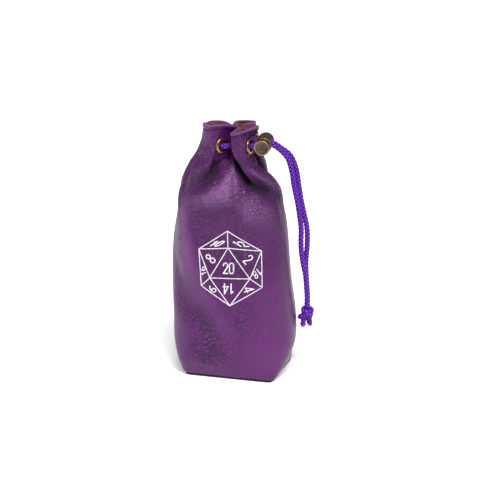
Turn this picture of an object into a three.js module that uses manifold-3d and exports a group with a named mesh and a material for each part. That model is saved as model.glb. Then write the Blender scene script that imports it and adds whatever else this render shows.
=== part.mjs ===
// Drawstring dice bag: a small lined leather pouch that stands on a boxed bottom, gathered at the neck
// by a braided cord through eight brass eyelets, with a sprung metal cord lock and a stopper knot.
// Millimetres, +Z up. The front faces -Y. The origin is the centre of the bottom, on the surface it
// stands on.
import * as THREE from 'three';
import { mergeVertices } from 'three/addons/utils/BufferGeometryUtils.js';
import Module from 'manifold-3d';

const wasm = await Module();
wasm.setup();

// Driving dimensions.
const RIM_LEVEL = 145;
const CORD_LEVEL = 133;
const LEATHER = 1.2;
const LINING = 0.6;
const GAP = 0.3;
const WASHER = 0.4;
const LINING_GAP = 0.46;
const CORD_DIAMETER = 2.8;
const PANEL_COLUMNS = 20;
const FLOOR_LEVEL_SPAN = 22;
const FLOOR_TAPER = 0.25;
const FLAT_PERIMETER = 196;
// The side seams swing forward on the left, and back on the right, as they rise from the bottom.
const SEAM_FORWARD = 4;
const SEAM_TURN = { from: 8, to: 36 };
const SEAM_GAP_SHARE = 0.15 / FLAT_PERIMETER;

const NECK_CENTRE = new THREE.Vector2(-1.9, 0);
const NECK_RADIUS = 17;

const EYELET = { hole: 2.6, barrel: 3.0, flange: 4.6, flangeTop: 1.2, lip: 3.6 };
const FLAT_RADIUS = 5.2;
const FLAT_BLEND = 8.5;

// The pouch's section at each height: centre x, half width, half depth, superellipse exponent, turn in
// degrees, and how far the section has gathered into the four-lobed neck, 0 to 1.
const SECTIONS = [
  { level: 0, centre: 2.4, width: 26.4, depth: 23, power: 6, turn: -17, gather: 0 },
  { level: 4, centre: 1.4, width: 29, depth: 23.8, power: 5, turn: -14, gather: 0 },
  { level: 10, centre: 0.6, width: 32.1, depth: 25.1, power: 4.5, turn: -8.9, gather: 0 },
  { level: 20, centre: 0.2, width: 35.2, depth: 26.4, power: 3.2, turn: -4, gather: 0 },
  { level: 34, centre: -0.3, width: 35.2, depth: 26, power: 2.7, turn: -1, gather: 0 },
  { level: 52, centre: -1.5, width: 34.4, depth: 26, power: 2.5, turn: 0, gather: 0 },
  { level: 76, centre: -2.3, width: 33, depth: 26, power: 2.4, turn: 0, gather: 0 },
  { level: 95, centre: -2.2, width: 30.9, depth: 25.5, power: 2.3, turn: 0, gather: 0.03 },
  { level: 108, centre: -3.1, width: 30.2, depth: 24.5, power: 2.2, turn: 0, gather: 0.16 },
  { level: 118, centre: -2.2, width: 25.7, depth: 22, power: 2.1, turn: 0, gather: 0.5 },
  { level: 126, centre: -1.5, width: 20.3, depth: 19.5, power: 2, turn: 0, gather: 0.88 },
  { level: CORD_LEVEL, centre: -1.9, width: NECK_RADIUS, depth: 17, power: 2, turn: 0, gather: 1 },
];

// Outline of the gathered neck where the cord draws it in: four lobes between four valleys, from the
// left seam at the bottom of the left valley, through the front, right and back valleys.
const NECK_OUTLINE = [
  [-8.5, 1.8], [-13.9, -2], [-18.8, -8.6], [-12.9, -16], [-7.1, -13.4],
  [-1.6, -6.4], [-0.6, -12.4], [-1.8, -18.4], [5.4, -19.1], [9, -9.7],
  [3.1, 0.4], [9.1, 3], [12.6, 10.5], [7.6, 17], [1.5, 13.6],
  [-2.1, 8.4], [-7.3, 14.4], [-14.5, 16.4], [-18.9, 11], [-13.9, 5.6],
];

// Outline of the open rim above it, which flares out a little and dips in the valleys.
const RIM_OUTLINE = [
  [-8.1, 1.6, 142], [-12.9, -1.2, 143], [-17.5, -6.4, 145], [-13.9, -15.4, 144.6], [-6.5, -13.4, 144.8],
  [1.7, -6.4, 142.4], [-0.1, -12.6, 141.4], [-1.9, -20, 140.4], [5.5, -18, 142], [12.5, -7.4, 143.6],
  [4.7, -0.6, 142.4], [10.7, 3, 143.2], [11.3, 9.6, 143.2], [5.7, 14.6, 142.8], [0.3, 11.6, 142.8],
  [-1.3, 3.8, 142], [-6.3, 12, 142.8], [-12.7, 14.4, 142.6], [-16.9, 9.4, 142], [-12.9, 4.2, 142.4],
];

// Where the eyelets sit on the neck outline, counted in outline points, in the cord's weaving order.
const EYELET_PLACES = [8.5, 6, 4, 1, 19, 16, 14, 11.45];

// Cord lock: the button faces the front, and both cord ends cross the barrel from left to right.
const LOCK_FACE = new THREE.Vector3(14.7, -22.9, 133.2);
const LOCK_BACK = new THREE.Vector3(17.7, -4.3, 134.8);
const LOCK = {
  length: 18.9,
  headRadius: 4.35,
  headLength: 2.4,
  barrelStart: 4.8,
  barrelRadius: 4.65,
  boreRadius: 3.7,
  boreEnd: 17.7,
  stemRadius: 3.5,
  stemEnd: 14.4,
  slotStart: 6.8,
  slotEnd: 13.8,
  slotHeight: 3.5,
  travel: 2,
};

const SPRING = { wire: 0.4, radius: 2.6, turns: 3, clearance: 0.15, spacing: 1.4 };

const MATERIALS = {
  leather: new THREE.MeshStandardMaterial({ color: 0x6d3a78, roughness: 0.42, metalness: 0 }),
  lining: new THREE.MeshStandardMaterial({ color: 0x9c4a5c, roughness: 0.9, metalness: 0 }),
  brass: new THREE.MeshStandardMaterial({ color: 0xa88a45, roughness: 0.3, metalness: 1 }),
  gunmetal: new THREE.MeshStandardMaterial({ color: 0x6b6357, roughness: 0.4, metalness: 1 }),
  steel: new THREE.MeshStandardMaterial({ color: 0xb0b0b0, roughness: 0.3, metalness: 1 }),
  cord: new THREE.MeshStandardMaterial({ color: 0x5a2bd0, roughness: 0.7, metalness: 0 }),
};

const bag = new THREE.Group();
bag.name = 'drawstring_dice_bag';

function addPart(name, geometry, slot, placement) {
  const mesh = new THREE.Mesh(geometry, MATERIALS[slot].clone());
  mesh.name = name;
  if (placement) mesh.applyMatrix4(placement);
  bag.add(mesh);
  return mesh;
}

// ---- Joining and cutting ----

function toSolid(geometry) {
  const bare = geometry.clone();
  bare.deleteAttribute('normal');
  bare.deleteAttribute('uv');
  const merged = mergeVertices(bare, 1e-3);
  return new wasm.Manifold(new wasm.Mesh({
    numProp: 3,
    vertProperties: new Float32Array(merged.attributes.position.array),
    triVerts: new Uint32Array(merged.index.array),
  }));
}

function toGeometry(solid) {
  const mesh = solid.getMesh();
  const geometry = new THREE.BufferGeometry();
  geometry.setAttribute('position', new THREE.BufferAttribute(mesh.vertProperties, 3));
  geometry.setIndex(new THREE.BufferAttribute(mesh.triVerts, 1));
  geometry.computeVertexNormals();
  return geometry;
}

// ---- The pouch's surface ----

// A smooth value between the sections, by cubic interpolation with level slopes from the neighbours.
function sectionValue(level, key) {
  const last = SECTIONS.length - 1;
  let i = 0;
  while (i < last - 1 && SECTIONS[i + 1].level <= level) i += 1;
  const slope = (k) => {
    const before = SECTIONS[Math.max(k - 1, 0)];
    const after = SECTIONS[Math.min(k + 1, last)];
    return (after[key] - before[key]) / (after.level - before.level);
  };
  const a = SECTIONS[i];
  const b = SECTIONS[i + 1];
  const span = b.level - a.level;
  const t = THREE.MathUtils.clamp((level - a.level) / span, 0, 1);
  const t2 = t * t;
  const t3 = t2 * t;
  return (2 * t3 - 3 * t2 + 1) * a[key] + (t3 - 2 * t2 + t) * span * slope(i)
    + (3 * t2 - 2 * t3) * b[key] + (t3 - t2) * span * slope(i + 1);
}

// A superellipse at even steps of its own length, from the left end through the front.
const OVAL_STEPS = 720;
const ovalCache = new Map();

function ovalTable(width, depth, power) {
  const key = `${width.toFixed(4)} ${depth.toFixed(4)} ${power.toFixed(4)}`;
  if (!ovalCache.has(key)) {
    const points = [];
    const lengths = [0];
    for (let i = 0; i <= OVAL_STEPS; i += 1) {
      const angle = Math.PI + (i / OVAL_STEPS) * 2 * Math.PI;
      const c = Math.cos(angle);
      const s = Math.sin(angle);
      const radius = (Math.abs(c / width) ** power + Math.abs(s / depth) ** power) ** (-1 / power);
      points.push(new THREE.Vector2(radius * c, radius * s));
      if (i > 0) lengths.push(lengths[i - 1] + points[i].distanceTo(points[i - 1]));
    }
    ovalCache.set(key, { points, lengths });
  }
  return ovalCache.get(key);
}

function ovalPoint(u, width, depth, power) {
  const { points, lengths } = ovalTable(width, depth, power);
  const target = (u - Math.floor(u)) * lengths[OVAL_STEPS];
  let low = 0;
  let high = OVAL_STEPS;
  while (high - low > 1) {
    const middle = (low + high) >> 1;
    if (lengths[middle] > target) high = middle;
    else low = middle;
  }
  const share = (target - lengths[low]) / (lengths[high] - lengths[low]);
  return points[low].clone().lerp(points[high], share);
}

const neckCurve = new THREE.CatmullRomCurve3(
  NECK_OUTLINE.map(([x, y]) => new THREE.Vector3(x, y, CORD_LEVEL)),
  true,
  'catmullrom',
  0.5,
);
const rimCurve = new THREE.CatmullRomCurve3(
  RIM_OUTLINE.map(([x, y, z]) => new THREE.Vector3(x, y, z)),
  true,
  'catmullrom',
  0.5,
);

function wrap(u) {
  return u - Math.floor(u);
}

// A point of the pouch's outside: u runs once round from the left seam, and level is the height. Below
// 0 the level runs inwards over the bottom to the bottom seam.
function plainPoint(u, level) {
  if (level > CORD_LEVEL) {
    const t = (level - CORD_LEVEL) / (RIM_LEVEL - CORD_LEVEL);
    return neckCurve.getPoint(wrap(u)).lerp(rimCurve.getPoint(wrap(u)), t);
  }
  const height = Math.max(level, 0);
  const width = sectionValue(height, 'width');
  const shift = SEAM_FORWARD * THREE.MathUtils.smoothstep(height, SEAM_TURN.from, SEAM_TURN.to);
  const forward = u + shift / FLAT_PERIMETER;
  const oval = ovalPoint(forward, width, sectionValue(height, 'depth'), sectionValue(height, 'power'));
  if (level < 0) {
    const inward = -level / FLOOR_LEVEL_SPAN;
    const side = wrap(u) < 0.5 ? -1 : 1;
    oval.set(oval.x * (1 - FLOOR_TAPER * inward), oval.y * (1 - inward) + side * inward * GAP * 0.5);
  }
  oval.rotateAround(new THREE.Vector2(), THREE.MathUtils.degToRad(sectionValue(height, 'turn')));
  const neck = neckCurve.getPoint(wrap(u));
  const lobed = new THREE.Vector2(neck.x, neck.y).sub(NECK_CENTRE).multiplyScalar(width / NECK_RADIUS);
  const gather = THREE.MathUtils.clamp(sectionValue(height, 'gather'), 0, 1);
  const place = oval.lerp(lobed, gather);
  return new THREE.Vector3(place.x + sectionValue(height, 'centre'), place.y, height);
}

function outwardNormal(u, level) {
  const around = plainPoint(u + 0.002, level).sub(plainPoint(u - 0.002, level));
  const up = plainPoint(u, Math.min(level + 0.4, RIM_LEVEL)).sub(plainPoint(u, level - 0.4));
  return around.cross(up).normalize();
}

// Each eyelet's centre on the outside of the leather, its axis and its place on the flat leather.
const eyeletSeats = EYELET_PLACES.map((place) => {
  const u = place / NECK_OUTLINE.length;
  const axis = outwardNormal(u, CORD_LEVEL);
  axis.z = 0;
  return { u, centre: plainPoint(u, CORD_LEVEL), axis: axis.normalize() };
});

// The leather lies flat under each eyelet's flange.
function seatedPoint(u, level) {
  const point = plainPoint(u, level);
  for (const seat of eyeletSeats) {
    const turn = wrap(u - seat.u + 0.5) - 0.5;
    const away = Math.hypot(turn * FLAT_PERIMETER, level - CORD_LEVEL);
    const hold = 1 - THREE.MathUtils.smoothstep(away, FLAT_RADIUS, FLAT_BLEND);
    const lift = point.clone().sub(seat.centre).dot(seat.axis);
    point.addScaledVector(seat.axis, -hold * lift);
  }
  return point;
}

function seatedNormal(u, level) {
  const around = seatedPoint(u + 0.002, level).sub(seatedPoint(u - 0.002, level));
  const top = Math.min(level + 0.4, RIM_LEVEL);
  return around.cross(seatedPoint(u, top).sub(seatedPoint(u, level - 0.4))).normalize();
}

const LEVELS = [-22, -10, 0, 3, 8, 15, 27, 42, 60, 78, 92, 103, 111, 118, 123.5, 128, 133, 138, 145];

// A sewn layer of the pouch: one closed shell between two depths below the outside.
function layerGeometry(start, nearDepth, farDepth) {
  const rows = LEVELS.length;
  const columns = PANEL_COLUMNS + 1;
  const positions = [];
  for (const depth of [nearDepth, farDepth]) {
    for (const level of LEVELS) {
      for (let i = 0; i < columns; i += 1) {
        const u = start + SEAM_GAP_SHARE + (0.5 - 2 * SEAM_GAP_SHARE) * (i / PANEL_COLUMNS);
        const point = seatedPoint(u, level);
        point.addScaledVector(seatedNormal(u, level), -depth);
        positions.push(point.x, point.y, point.z);
      }
    }
  }
  const near = (j, i) => j * columns + i;
  const far = (j, i) => (rows + j) * columns + i;
  const index = [];
  const quad = (a, b, c, d) => index.push(a, b, c, a, c, d);
  for (let j = 0; j < rows - 1; j += 1) {
    for (let i = 0; i < columns - 1; i += 1) {
      quad(near(j, i), near(j, i + 1), near(j + 1, i + 1), near(j + 1, i));
      quad(far(j, i), far(j + 1, i), far(j + 1, i + 1), far(j, i + 1));
    }
    quad(near(j, 0), near(j + 1, 0), far(j + 1, 0), far(j, 0));
    const last = columns - 1;
    quad(near(j, last), far(j, last), far(j + 1, last), near(j + 1, last));
  }
  for (let i = 0; i < columns - 1; i += 1) {
    quad(near(0, i), far(0, i), far(0, i + 1), near(0, i + 1));
    quad(near(rows - 1, i), near(rows - 1, i + 1), far(rows - 1, i + 1), far(rows - 1, i));
  }
  const geometry = new THREE.BufferGeometry();
  geometry.setAttribute('position', new THREE.Float32BufferAttribute(positions, 3));
  geometry.setIndex(index);
  return geometry;
}

// ---- Eyelets ----

const Y_AXIS = new THREE.Vector3(0, 1, 0);

function seatPlacement(seat) {
  const turn = new THREE.Quaternion().setFromUnitVectors(Y_AXIS, seat.axis);
  return new THREE.Matrix4().compose(seat.centre, turn, new THREE.Vector3(1, 1, 1));
}

function lathe(profile, segments) {
  const closed = [...profile, profile[0]].map(([r, y]) => new THREE.Vector2(r, y));
  return new THREE.LatheGeometry(closed, segments);
}

const LINING_TOP = -LEATHER - LINING_GAP;
const LINING_BOTTOM = LINING_TOP - LINING;
const WASHER_TOP = LINING_BOTTOM - GAP;
const WASHER_BOTTOM = WASHER_TOP - WASHER;
const LIP_TOP = WASHER_BOTTOM - GAP;
const LIP_BOTTOM = LIP_TOP - WASHER;
const EYELET_SIDES = 12;
const CUT_REACH = 1.5;
const CUT_SKIN = 0.05;

function eyeletGeometry() {
  const { hole, barrel, flange, flangeTop, lip } = EYELET;
  return lathe([
    [hole, LIP_BOTTOM], [lip, LIP_BOTTOM], [lip, LIP_TOP], [barrel, LIP_TOP], [barrel, GAP],
    [flange, GAP], [flange, 0.55], [flange - 0.5, flangeTop - 0.15], [flange - 1, flangeTop],
    [hole + 0.25, flangeTop - 0.2], [hole, 0.5],
  ], EYELET_SIDES);
}

function washerGeometry() {
  const inside = EYELET.barrel + GAP;
  return lathe([
    [inside, WASHER_BOTTOM], [EYELET.flange, WASHER_BOTTOM],
    [EYELET.flange, WASHER_TOP], [inside, WASHER_TOP],
  ], EYELET_SIDES);
}

function cylinderAlongY(radius, from, to) {
  const cylinder = new THREE.CylinderGeometry(radius, radius, to - from, EYELET_SIDES);
  return cylinder.translate(0, (from + to) / 2, 0);
}

// The eyelet's hole, and the room above the leather and below the lining for its flanges.
function cutForEyelets(geometry) {
  let solid = toSolid(geometry);
  for (const seat of eyeletSeats) {
    const cuts = [
      cylinderAlongY(EYELET.barrel + GAP, LIP_BOTTOM, CUT_REACH),
      cylinderAlongY(EYELET.flange + GAP, CUT_SKIN, CUT_REACH),
      cylinderAlongY(EYELET.flange + GAP, LIP_BOTTOM - GAP, WASHER_TOP + CUT_SKIN),
    ];
    for (const cut of cuts) solid = solid.subtract(toSolid(cut.applyMatrix4(seatPlacement(seat))));
  }
  return toGeometry(solid);
}

// ---- Cord ----

const CORD_SIDES = 8;
const LOOP_SPACING = 2.6;
const TAIL_SPACING = 5;
const END_SPACING = 2.2;

function tube(points, diameter, spacing) {
  const path = new THREE.CatmullRomCurve3(points, false, 'centripetal');
  const section = new THREE.Shape();
  for (let i = 0; i < CORD_SIDES; i += 1) {
    const angle = (i / CORD_SIDES) * 2 * Math.PI;
    const x = (diameter / 2) * Math.cos(angle);
    const y = (diameter / 2) * Math.sin(angle);
    if (i === 0) section.moveTo(x, y);
    else section.lineTo(x, y);
  }
  section.closePath();
  const steps = Math.round(path.getLength() / spacing);
  return new THREE.ExtrudeGeometry(section, { steps, bevelEnabled: false, extrudePath: path });
}

// ---- Cord lock ----

const lockAxis = LOCK_BACK.clone().sub(LOCK_FACE).normalize();
const lockAcross = new THREE.Vector3(1, 0, 0).addScaledVector(lockAxis, -lockAxis.x).normalize();
const lockUp = lockAcross.clone().cross(lockAxis).normalize();
// In the lock's own frame, Y runs from the button's face into the barrel, X along the cord's way
// through it.
const lockPlacement = new THREE.Matrix4().makeBasis(lockAcross, lockAxis, lockUp).setPosition(LOCK_FACE);

function slotCutter(from, to) {
  const width = 3 * LOCK.barrelRadius;
  return toSolid(new THREE.BoxGeometry(width, to - from, LOCK.slotHeight).translate(0, (from + to) / 2, 0));
}

function lockBarrelGeometry() {
  const { barrelStart, barrelRadius, boreRadius, boreEnd, length } = LOCK;
  const turned = new THREE.LatheGeometry([
    [0, boreEnd], [boreRadius, boreEnd], [boreRadius, barrelStart], [barrelRadius - 0.4, barrelStart],
    [barrelRadius, barrelStart + 0.4], [barrelRadius, length - 0.6], [barrelRadius - 0.6, length],
    [0, length],
  ].map(([r, y]) => new THREE.Vector2(r, y)), 28);
  return toGeometry(toSolid(turned).subtract(slotCutter(LOCK.slotStart, LOCK.slotEnd)));
}

function lockPlungerGeometry() {
  const { headRadius, headLength, stemRadius, stemEnd } = LOCK;
  const turned = new THREE.LatheGeometry([
    [0, 0], [headRadius - 0.5, 0], [headRadius, 0.5], [headRadius, headLength - 0.4],
    [headRadius - 0.4, headLength], [stemRadius, headLength], [stemRadius, stemEnd], [0, stemEnd],
  ].map(([r, y]) => new THREE.Vector2(r, y)), 28);
  return toGeometry(toSolid(turned).subtract(slotCutter(LOCK.slotStart - LOCK.travel, LOCK.slotEnd)));
}

function lockSpringGeometry() {
  const { wire, radius, turns, clearance } = SPRING;
  const from = LOCK.stemEnd + wire / 2 + clearance;
  const to = LOCK.boreEnd - wire / 2 - clearance;
  const points = [];
  const steps = turns * 12;
  for (let i = 0; i <= steps; i += 1) {
    const angle = (i / steps) * turns * 2 * Math.PI;
    const along = from + (to - from) * (i / steps);
    points.push(new THREE.Vector3(radius * Math.cos(angle), along, radius * Math.sin(angle)));
  }
  return tube(points, wire, SPRING.spacing);
}

// ---- Assembly ----

const leatherDepths = [0, LEATHER];
const liningDepths = [-LINING_TOP, -LINING_BOTTOM];
addPart('front_panel', cutForEyelets(layerGeometry(0, ...leatherDepths)), 'leather');
addPart('back_panel', cutForEyelets(layerGeometry(0.5, ...leatherDepths)), 'leather');
addPart('lining_front', cutForEyelets(layerGeometry(0, ...liningDepths)), 'lining');
addPart('lining_back', cutForEyelets(layerGeometry(0.5, ...liningDepths)), 'lining');

eyeletSeats.forEach((seat, i) => {
  addPart(`eyelet_${i + 1}`, eyeletGeometry(), 'brass', seatPlacement(seat));
  addPart(`eyelet_washer_${i + 1}`, washerGeometry(), 'brass', seatPlacement(seat));
});

addPart('lock_barrel', lockBarrelGeometry(), 'gunmetal', lockPlacement);
addPart('lock_plunger', lockPlungerGeometry(), 'gunmetal', lockPlacement);
addPart('lock_spring', lockSpringGeometry(), 'steel', lockPlacement);

// A point in the lock: along the cord's way, along the axis from the button's face, and up.
function inLock(across, along, up = 0) {
  return new THREE.Vector3(across, along, up).applyMatrix4(lockPlacement);
}

// A point on an eyelet's axis, so far out from the leather, or a little to one side of the axis.
function seatPoint(number, out, aside = 0) {
  const seat = eyeletSeats[number - 1];
  const sideways = new THREE.Vector3(-seat.axis.y, seat.axis.x, 0);
  return seat.centre.clone().addScaledVector(seat.axis, out).addScaledVector(sideways, aside);
}
const at = (x, y, z) => new THREE.Vector3(x, y, z);
const FRONT_SLOT = 8.6;
const INSIDE = -3.6;
const BACK_SLOT = 12.1;

// The woven part of the drawstring, from the lock round the neck and back to the lock.
const loopRoute = [
  inLock(-0.2, FRONT_SLOT),
  inLock(-4.1, FRONT_SLOT),
  seatPoint(1, 1.5, 0.9), seatPoint(1, -0.6, 0.5), seatPoint(1, INSIDE),
  seatPoint(2, INSIDE), seatPoint(2, -1.2), seatPoint(2, 0.4),
  seatPoint(3, 1.7), seatPoint(3, -1.2), seatPoint(3, INSIDE),
  seatPoint(4, INSIDE), seatPoint(4, -1.2), seatPoint(4, 1.2),
  seatPoint(5, 1.2), seatPoint(5, -1.2), seatPoint(5, INSIDE),
  seatPoint(6, INSIDE), seatPoint(6, -1.2), seatPoint(6, 1.2),
  seatPoint(7, 1.2), seatPoint(7, -1.2), seatPoint(7, INSIDE),
  seatPoint(8, INSIDE), seatPoint(8, -1.2), seatPoint(8, 1.2),
  at(12, 1.8, 133.1), at(10.6, -2, 133.4), at(10.5, -6.4, 134),
  inLock(-5.2, 12.45), inLock(-3.8, 12.05),
  inLock(-0.2, BACK_SLOT),
];

const tailARoute = [
  inLock(0.2, FRONT_SLOT), inLock(4.7, FRONT_SLOT),
  at(24.9, -13.8, 131), at(29.2, -13, 126.2), at(31.7, -11.4, 118.5), at(33.2, -10.2, 109.5),
  at(35.2, -9.2, 100), at(36.5, -8, 92), at(37.5, -6.8, 84), at(37.5, -6.2, 76), at(37.9, -5.8, 70),
  at(38.8, -5.6, 64), at(40.3, -4.8, 57), at(41, -4, 50), at(41.5, -3.3, 43), at(41.5, -2.6, 36.6),
];
const tailBRoute = [
  inLock(0.2, BACK_SLOT), inLock(4.7, BACK_SLOT),
  at(25.5, -10.6, 131.4), at(30.9, -10.2, 127), at(34.4, -8.6, 118.5), at(35.9, -7.6, 109.5),
  at(37.5, -6.9, 100), at(39.3, -6.2, 92), at(40.9, -5.2, 84), at(41.2, -4.4, 76), at(41, -3.6, 70),
  at(40.6, -2.6, 64), at(40.9, -1.6, 57), at(41.4, -0.9, 50), at(41.9, -0.2, 43), at(42, 0.5, 36.6),
];

addPart('drawstring', tube(loopRoute, CORD_DIAMETER, LOOP_SPACING), 'cord');
addPart('tail_a', tube(tailARoute, CORD_DIAMETER, TAIL_SPACING), 'cord');
addPart('tail_b', tube(tailBRoute, CORD_DIAMETER, TAIL_SPACING), 'cord');

// The overhand knot of both tails, and the two cut ends that come out below it.
const KNOT_CENTRE = [41.2, -1, 32.8];
const KNOT_RADII = [3.7, 3.5, 3.4];
const endRoutes = {
  cord_end_a: [at(39.9, -2.1, 29.2), at(39.4, -2.2, 27.4), at(39.3, -2.3, 25.8)],
  cord_end_b: [at(42.7, -0.3, 29.2), at(43.2, -0.4, 27.4), at(43.4, -0.5, 25.9)],
};
const knot = new THREE.SphereGeometry(1, 14, 10).scale(...KNOT_RADII).translate(...KNOT_CENTRE);
addPart('stopper_knot', knot, 'cord');
for (const [name, route] of Object.entries(endRoutes)) {
  addPart(name, tube(route, CORD_DIAMETER, END_SPACING), 'cord');
}

export default bag;
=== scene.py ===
"""Drawstring dice bag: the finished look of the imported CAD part, in the same frame, in metres.

Shapes are worked out in millimetres, as in the part's own source, and scaled when a mesh is made.
"""

import math

import bpy
import numpy as np
from mathutils import Matrix, Vector
from mathutils.bvhtree import BVHTree


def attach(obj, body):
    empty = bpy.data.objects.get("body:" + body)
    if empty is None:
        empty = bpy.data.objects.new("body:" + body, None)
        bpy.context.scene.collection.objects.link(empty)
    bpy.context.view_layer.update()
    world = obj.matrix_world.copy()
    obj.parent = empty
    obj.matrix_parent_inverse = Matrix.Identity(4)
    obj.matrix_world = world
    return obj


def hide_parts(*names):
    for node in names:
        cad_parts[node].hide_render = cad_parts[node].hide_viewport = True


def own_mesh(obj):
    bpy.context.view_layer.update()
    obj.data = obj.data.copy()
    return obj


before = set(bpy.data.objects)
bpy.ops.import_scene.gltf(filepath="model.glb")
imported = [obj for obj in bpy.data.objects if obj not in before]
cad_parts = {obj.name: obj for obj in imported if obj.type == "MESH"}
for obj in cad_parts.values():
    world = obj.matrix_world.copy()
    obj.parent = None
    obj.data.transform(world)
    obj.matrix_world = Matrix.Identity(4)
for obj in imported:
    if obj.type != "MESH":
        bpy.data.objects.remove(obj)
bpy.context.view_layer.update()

MM = 0.001

# ---- Sizes shared with the CAD part ----

RIM_LEVEL, CORD_LEVEL, FLOOR_SPAN = 145.0, 133.0, 22.0
LEATHER, LINING, LINING_TOP = 1.2, 0.6, 1.66
SEAM_FORWARD, FLOOR_TAPER = 4.0, 0.25
RIM_FLARE = 0.8
SEAM_GAP = 0.15
CORD_DIAMETER = 2.8
NECK_CENTRE, NECK_RADIUS = np.array((-1.9, 0.0)), 17.0
FLAT_PERIMETER, FLAT_RADIUS, FLAT_BLEND = 196.0, 5.2, 8.5

# level, centre x, half width, half depth, superellipse exponent, turn in degrees, gather
SECTIONS = np.array([
    (0, 2.4, 26.4, 23, 16, -17, 0), (4, 1.4, 29, 23.8, 8, -14, 0), (10, 0.6, 32.1, 25.1, 5, -8.9, 0),
    (20, 0.2, 35.2, 26.4, 3.2, -4, 0), (34, -0.3, 35.2, 26, 2.7, -1, 0), (52, -1.5, 34.4, 26, 2.5, 0, 0),
    (76, -2.3, 33, 26, 2.4, 0, 0), (95, -2.2, 30.9, 25.5, 2.3, 0, 0.03),
    (108, -3.1, 30.2, 24.5, 2.2, 0, 0.16), (118, -2.2, 25.7, 22, 2.1, 0, 0.5),
    (126, -1.5, 20.3, 19.5, 2, 0, 0.88), (133, -1.9, 17, 17, 2, 0, 1)], float)
NECK_OUTLINE = np.array([
    (-8.5, 1.8), (-13.9, -2), (-18.8, -8.6), (-12.9, -16), (-7.1, -13.4), (-1.6, -6.4), (-0.6, -12.4),
    (-1.8, -18.4), (5.4, -19.1), (9, -9.7), (3.1, 0.4), (9.1, 3), (12.6, 10.5), (7.6, 17), (1.5, 13.6),
    (-2.1, 8.4), (-7.3, 14.4), (-14.5, 16.4), (-18.9, 11), (-13.9, 5.6)], float)
RIM_OUTLINE = np.array([
    (-8.1, 1.6, 142), (-12.9, -1.2, 143), (-17.5, -6.4, 145), (-13.9, -15.4, 144.6),
    (-6.5, -13.4, 144.8), (1.7, -6.4, 142.4), (-0.1, -12.6, 141.4), (-1.9, -20, 140.4), (5.5, -18, 142),
    (12.5, -7.4, 143.6), (4.7, -0.6, 142.4), (10.7, 3, 143.2), (11.3, 9.6, 143.2), (5.7, 14.6, 142.8),
    (0.3, 11.6, 142.8), (-1.3, 3.8, 142), (-6.3, 12, 142.8), (-12.7, 14.4, 142.6),
    (-16.9, 9.4, 142), (-12.9, 4.2, 142.4)], float)
EYELET_PLACES = (8.5, 6, 4, 1, 19, 16, 14, 11.45)

LOCK_FACE, LOCK_BACK = np.array((14.7, -22.9, 133.2)), np.array((17.7, -4.3, 134.8))
LOCK_LENGTH, HEAD_RADIUS, HEAD_LENGTH = 18.9, 4.35, 2.4
BARREL_START, BARREL_RADIUS, BORE_RADIUS, BORE_END = 4.8, 4.65, 3.7, 17.7
STEM_RADIUS, STEM_END, SLOT_START, SLOT_END, SLOT_HEIGHT = 3.5, 14.4, 6.8, 13.8, 3.5
PRESS_TRAVEL, FRONT_SLOT, BACK_SLOT, INSIDE = 2.0, 8.6, 12.1, -3.6

TAIL_A_BEYOND = [
    (24.9, -13.8, 131), (29.2, -13, 126.2), (31.7, -11.4, 118.5), (33.2, -10.2, 109.5),
    (35.2, -9.2, 100), (36.5, -8, 92), (37.5, -6.8, 84), (37.5, -6.2, 76), (37.9, -5.8, 70),
    (38.8, -5.6, 64), (40.3, -4.8, 57), (41, -4, 50), (41.5, -3.3, 43), (41.5, -2.6, 36.6)]
TAIL_B_BEYOND = [
    (25.5, -10.6, 131.4), (30.9, -10.2, 127), (34.4, -8.6, 118.5), (35.9, -7.6, 109.5),
    (37.5, -6.9, 100), (39.3, -6.2, 92), (40.9, -5.2, 84), (41.2, -4.4, 76), (41, -3.6, 70),
    (40.6, -2.6, 64), (40.9, -1.6, 57), (41.4, -0.9, 50), (41.9, -0.2, 43), (42, 0.5, 36.6)]
KNOT_CENTRE = np.array((41.2, -1, 32.8))

# ---- The pouch's surface ----


def hermite(t, start, leaving, end, arriving):
    """A smooth step from start to end at shares t, with the given slopes at both."""
    return ((2 * t ** 3 - 3 * t ** 2 + 1) * start + (t ** 3 - 2 * t ** 2 + t) * leaving
            + (3 * t ** 2 - 2 * t ** 3) * end + (t ** 3 - t ** 2) * arriving)


def section_values(level):
    """Centre, half width, half depth, exponent, turn and gather at one height."""
    at, values = SECTIONS[:, 0], SECTIONS[:, 1:]
    slope = np.vstack([(values[1:2] - values[:1]) / (at[1] - at[0]),
                       (values[2:] - values[:-2]) / (at[2:] - at[:-2])[:, None],
                       (values[-1:] - values[-2:-1]) / (at[-1] - at[-2])])
    i = int(np.clip(np.searchsorted(at, level, side="right") - 1, 0, len(at) - 2))
    span = at[i + 1] - at[i]
    t = min(max((level - at[i]) / span, 0), 1)
    return hermite(t, values[i], span * slope[i], values[i + 1], span * slope[i + 1])


def closed_curve(points, u):
    """A smooth closed curve through the points, at shares u of the way round."""
    n = len(points)
    p = (u - np.floor(u)) * n
    i = np.floor(p).astype(int)
    t = (p - i)[:, None]
    a, b, c, d = (points[(i + k) % n] for k in (-1, 0, 1, 2))
    return hermite(t, b, (c - a) / 2, c, (d - b) / 2)


def oval(u, width, depth, power):
    """A superellipse at shares u of its own length, from the left end through the front."""
    angle = np.pi + np.linspace(0, 2 * np.pi, 721)
    c, s = np.cos(angle), np.sin(angle)
    radius = (abs(c / width) ** power + abs(s / depth) ** power) ** (-1 / power)
    x, y = radius * c, radius * s
    length = np.concatenate([[0], np.cumsum(np.hypot(np.diff(x), np.diff(y)))])
    target = (u - np.floor(u)) * length[-1]
    return np.stack([np.interp(target, length, x), np.interp(target, length, y)], -1)


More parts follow.
